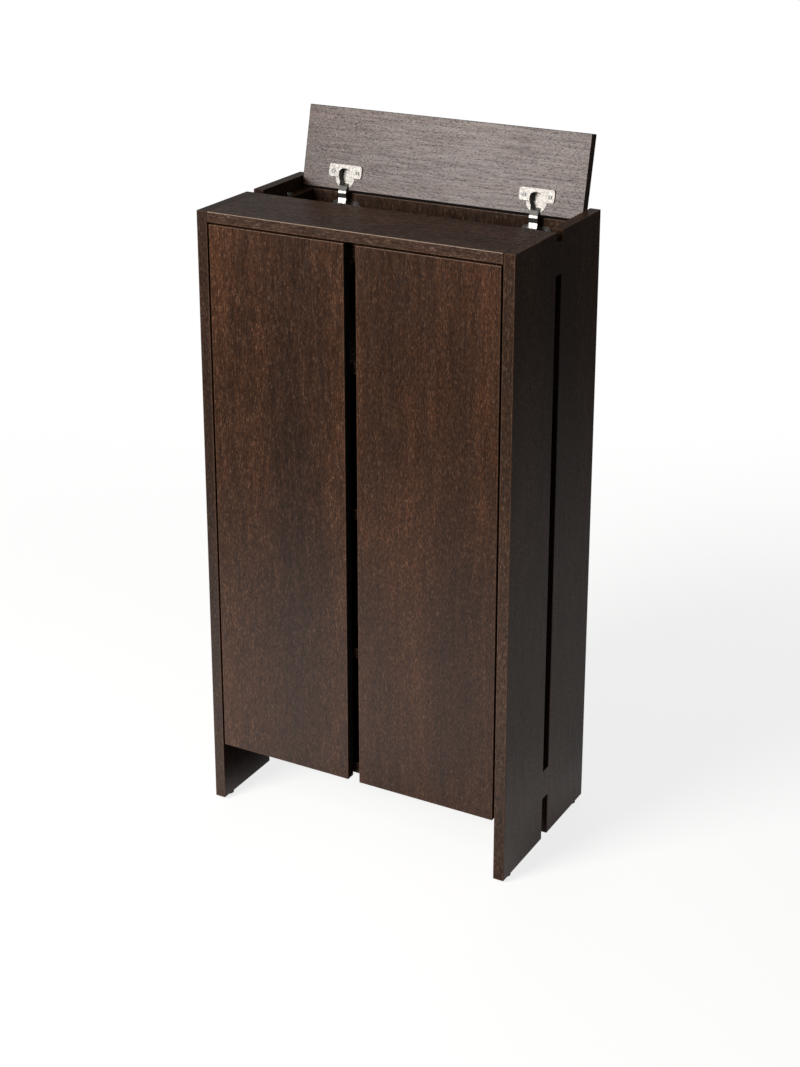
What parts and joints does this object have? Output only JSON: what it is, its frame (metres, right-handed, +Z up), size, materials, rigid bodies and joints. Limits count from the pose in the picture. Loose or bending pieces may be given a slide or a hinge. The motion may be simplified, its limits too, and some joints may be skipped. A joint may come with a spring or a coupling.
{
  "type": "hallway cabinet",
  "caption": "Tall hallway cabinet of dark stained oak boards with slotted sides, inset doors with a finger gap, shelves inside and a lift-up lid on concealed hinges.",
  "frame": {"origin": "on the floor, under the middle of the cabinet's box with the lid raised", "axes": "+Z up, +X to the right seen from the front, front towards -Y"},
  "size_m": [0.585, 0.3494, 1.2286],
  "materials": {
    "stained_oak": "dark brown stained oak veneer under a satin lacquer",
    "hinge_nickel": "bright nickel plate",
    "screw_steel": "nickel plated steel",
    "zinc_cam": "cast zinc",
    "beech_dowel": "plain fluted beech",
    "black_plastic": "moulded matt black",
    "clear_buffer": "clear soft plastic"
  },
  "bodies": {
    "case": {"front_top": "stained_oak", "bottom_panel": "stained_oak", "back_panel": "stained_oak", "front_rail": "stained_oak", "left_side": "stained_oak", "right_side": "stained_oak", "left_rail": "stained_oak", "right_rail": "stained_oak", "lower_shelf": "stained_oak", "middle_shelf": "stained_oak", "upper_shelf": "stained_oak", "shelf_supports": "screw_steel", "door_buffers": "clear_buffer", "lid_buffers": "clear_buffer", "front_left_foot": "black_plastic", "front_right_foot": "black_plastic", "rear_left_foot": "black_plastic", "rear_right_foot": "black_plastic", "case_dowels": "beech_dowel", "cam_bolts": "zinc_cam", "cam_locks": "zinc_cam", "rail_screws": "screw_steel", "back_screws": "screw_steel", "lid_left_arm": "hinge_nickel", "lid_right_arm": "hinge_nickel", "lid_left_plate": "hinge_nickel", "lid_right_plate": "hinge_nickel", "lid_plate_screws": "screw_steel", "lid_arm_screws": "screw_steel", "left_lower_arm": "hinge_nickel", "left_upper_arm": "hinge_nickel", "right_lower_arm": "hinge_nickel", "right_upper_arm": "hinge_nickel", "left_lower_plate": "hinge_nickel", "left_upper_plate": "hinge_nickel", "right_lower_plate": "hinge_nickel", "right_upper_plate": "hinge_nickel", "door_plate_screws": "screw_steel", "door_arm_screws": "screw_steel"},
    "lid": {"lid": "stained_oak", "lid_left_cup": "hinge_nickel", "lid_right_cup": "hinge_nickel", "lid_hinge_pins": "hinge_nickel", "lid_cup_screws": "screw_steel"},
    "left_door": {"left_door": "stained_oak", "left_lower_cup": "hinge_nickel", "left_upper_cup": "hinge_nickel", "left_door_pins": "hinge_nickel", "left_door_cup_screws": "screw_steel"},
    "right_door": {"right_door": "stained_oak", "right_lower_cup": "hinge_nickel", "right_upper_cup": "hinge_nickel", "right_door_pins": "hinge_nickel", "right_door_cup_screws": "screw_steel"}
  },
  "joints": [
    {"name": "lid_hinge", "type": "hinge", "parent": "case", "child": "lid", "pos_m": [0, 0.13564, 1.0958], "axis": [1, 0, 0], "range_deg": [0, 103]},
    {"name": "left_door_hinge", "type": "hinge", "parent": "case", "child": "left_door", "pos_m": [-0.2611, -0.16766, 0.6], "axis": [0, 0, -1], "range_deg": [0, 100]},
    {"name": "right_door_hinge", "type": "hinge", "parent": "case", "child": "right_door", "pos_m": [0.2611, -0.16766, 0.6], "axis": [0, 0, 1], "range_deg": [0, 100]}
  ]
}
